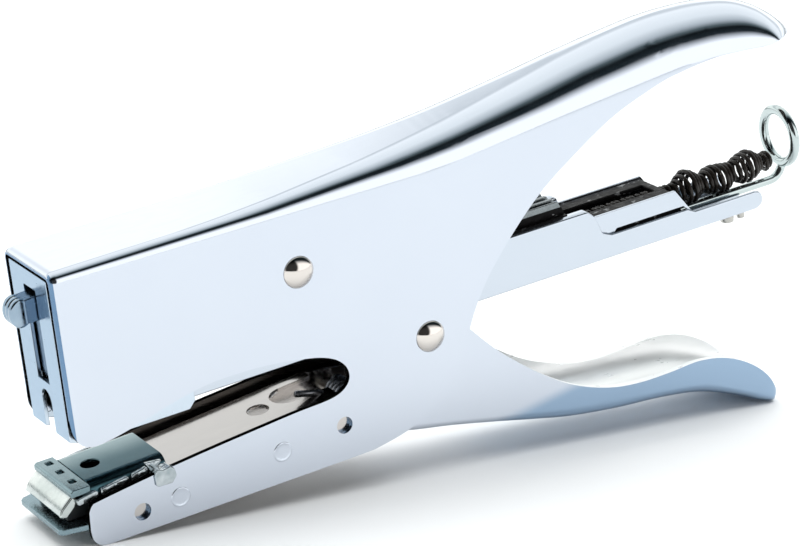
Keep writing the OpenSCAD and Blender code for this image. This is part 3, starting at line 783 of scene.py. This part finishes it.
# parts kept from the frame: finish and width of the eased edge
kept = {
    "jaw_channel": ("channelPlate", 0.2), "weld_studs": ("channelPlate", 0.1),
    # the anvil base takes the lip's painted shade
    "spring_pin": ("plainPins", 0.2), "anvil_base": ("lipPaintedShade", 0.15),
    "anvil_pin": ("plainPins", 0.2), "lever_rivets": ("plainPins", 0.2),
    "driver_blade": ("leverPlate", 0.1), "magazine_channel": ("magazinePlate", 0.36),
    "staple_rail": ("railLacquer", 0.25), "guide_plate": ("guidePlate", 0.2),
    "pivot_saddle": ("leverPlate", 0.2), "rail_studs": ("plainPins", 0.15),
    "staple_strip": ("stapleWire", 0.1),
}
for nodeName, (finishName, edge) in kept.items():
    node = cadNodes[nodeName]
    node.data.materials.clear()
    node.data.materials.append(made[finishName])
    weld = node.modifiers.new("weld", "WELD")
    weld.merge_threshold = 2e-6
    flats = node.modifiers.new("flats", "DECIMATE")
    flats.decimate_type = "DISSOLVE"
    flats.angle_limit = math.radians(0.6)
    roundEdges(node, edge, 2)
    shadeSmooth(node)
print("kept parts finished:", len(kept))


# pale floor, tent of light and camera; dark is the way to the unlit room
studio = {"floor": (0.94, 0.945, 0.95), "floorReach": 6, "world": 1.0, "fill": 44.0, "fillSize": 3.0,
          "fillHeight": 2.2, "dark": (-0.5, -0.81, 0.305), "darkEdge": (0.70, 0.84), "darkLevel": 0.03}

floorMesh = bpy.data.meshes.new("floor")
reach = studio["floorReach"]
floorMesh.from_pydata([(-reach, -reach, 0), (reach, -reach, 0), (reach, reach, 0), (-reach, reach, 0)], [],
                      [(0, 1, 2, 3)])
floor = bpy.data.objects.new("floor", floorMesh)
bpy.context.scene.collection.objects.link(floor)
paint = bpy.data.materials.new("floorPaint")
paint.use_nodes = True
shader = paint.node_tree.nodes["Principled BSDF"]
shader.inputs["Base Color"].default_value = (*studio["floor"], 1)
shader.inputs["Roughness"].default_value = 0.9
shader.inputs["Specular IOR Level"].default_value = 0.0
floor.data.materials.append(paint)

# The room is a bright tent with one dark gap between its front and its top, seen along the bends.
# Each stop is an angle from the front horizon over the top to the back, in degrees, and its tone.
tent = [(0, (1.65, 1.65, 1.65)), (30, (1.65, 1.65, 1.65)), (39, (0.72, 0.74, 0.76)),
        (47, (0.02, 0.03, 0.035)), (60, (0.008, 0.012, 0.014)), (68, (0.14, 0.18, 0.19)),
        (79, (0.72, 0.78, 0.8)), (98, (1.25, 1.3, 1.29)), (132, (1.45, 1.48, 1.46)),
        (141, (0.95, 1.0, 1.02)), (147, (0.95, 1.0, 1.02)), (151, (1.4, 1.43, 1.43)),
        (154, (1.6, 1.62, 1.6)), (170, (1.5, 1.53, 1.5)), (177, (0.55, 0.6, 0.61)), (180, (0.12, 0.15, 0.16))]
world = bpy.data.worlds.new("tent")
bpy.context.scene.world = world
world.use_nodes = True
tree = world.node_tree
where = tree.nodes.new("ShaderNodeTexCoord")
split = tree.nodes.new("ShaderNodeSeparateXYZ")
tree.links.new(where.outputs["Generated"], split.inputs["Vector"])
front = tree.nodes.new("ShaderNodeMath")
front.operation = "MULTIPLY"
front.inputs[1].default_value = -1
tree.links.new(split.outputs["Y"], front.inputs[0])
angle = tree.nodes.new("ShaderNodeMath")
angle.operation = "ARCTAN2"
tree.links.new(split.outputs["Z"], angle.inputs[0])
tree.links.new(front.outputs[0], angle.inputs[1])
share = tree.nodes.new("ShaderNodeMath")
share.operation = "DIVIDE"
share.inputs[1].default_value = math.pi
tree.links.new(angle.outputs[0], share.inputs[0])
ramp = tree.nodes.new("ShaderNodeValToRGB")
tree.links.new(share.outputs[0], ramp.inputs["Fac"])
stops = ramp.color_ramp.elements
stops[0].position, stops[0].color = 0.0, (*tent[0][1], 1)
stops[1].position, stops[1].color = 1.0, (*tent[-1][1], 1)
for degrees, tone in tent[1:-1]:
    stops.new(degrees / 180).color = (*tone, 1)
# the unlit room beside the front of the tent
toward = alongAxis(tree, where.outputs["Generated"], studio["dark"])
room = mapRange(tree, toward, studio["darkEdge"], (1.0, studio["darkLevel"]), smooth=True)
shade = mixColours(tree, 1.0, ramp.outputs["Color"], room, "MULTIPLY")
tree.links.new(shade, tree.nodes["Background"].inputs["Color"])
tree.nodes["Background"].inputs["Strength"].default_value = studio["world"]

lamp = bpy.data.lights.new("fill", "AREA")
lamp.shape = "DISK"
lamp.size = studio["fillSize"]
lamp.energy = studio["fill"]
fill = bpy.data.objects.new("fill", lamp)
bpy.context.scene.collection.objects.link(fill)
fill.location = (0, 0, studio["fillHeight"])
fill.visible_glossy = False

viewpoint = {"target": (80.0, 0.0, 35.0), "azimuth": -31.77, "elevation": 17.78, "roll": 1.52,
             "distance": 600.0, "lens": 129.18, "shift": (0.0147, -0.0138)}
cameraData = bpy.data.cameras.new("camera")
cameraData.sensor_width = 36
cameraData.lens = viewpoint["lens"]
cameraData.shift_x, cameraData.shift_y = viewpoint["shift"]
camera = bpy.data.objects.new("camera", cameraData)
bpy.context.scene.collection.objects.link(camera)
turn = (Matrix.Rotation(math.radians(viewpoint["azimuth"]), 4, "Z")
        @ Matrix.Rotation(math.radians(90 - viewpoint["elevation"]), 4, "X")
        @ Matrix.Rotation(math.radians(viewpoint["roll"]), 4, "Z"))
camera.matrix_world = (Matrix.Translation(bodyFrame @ Vector(viewpoint["target"])) @ turn
                       @ Matrix.Translation((0, 0, viewpoint["distance"] * mm)))
bpy.context.scene.camera = camera
bpy.context.scene.view_settings.view_transform = "Standard"
print("studio ready")
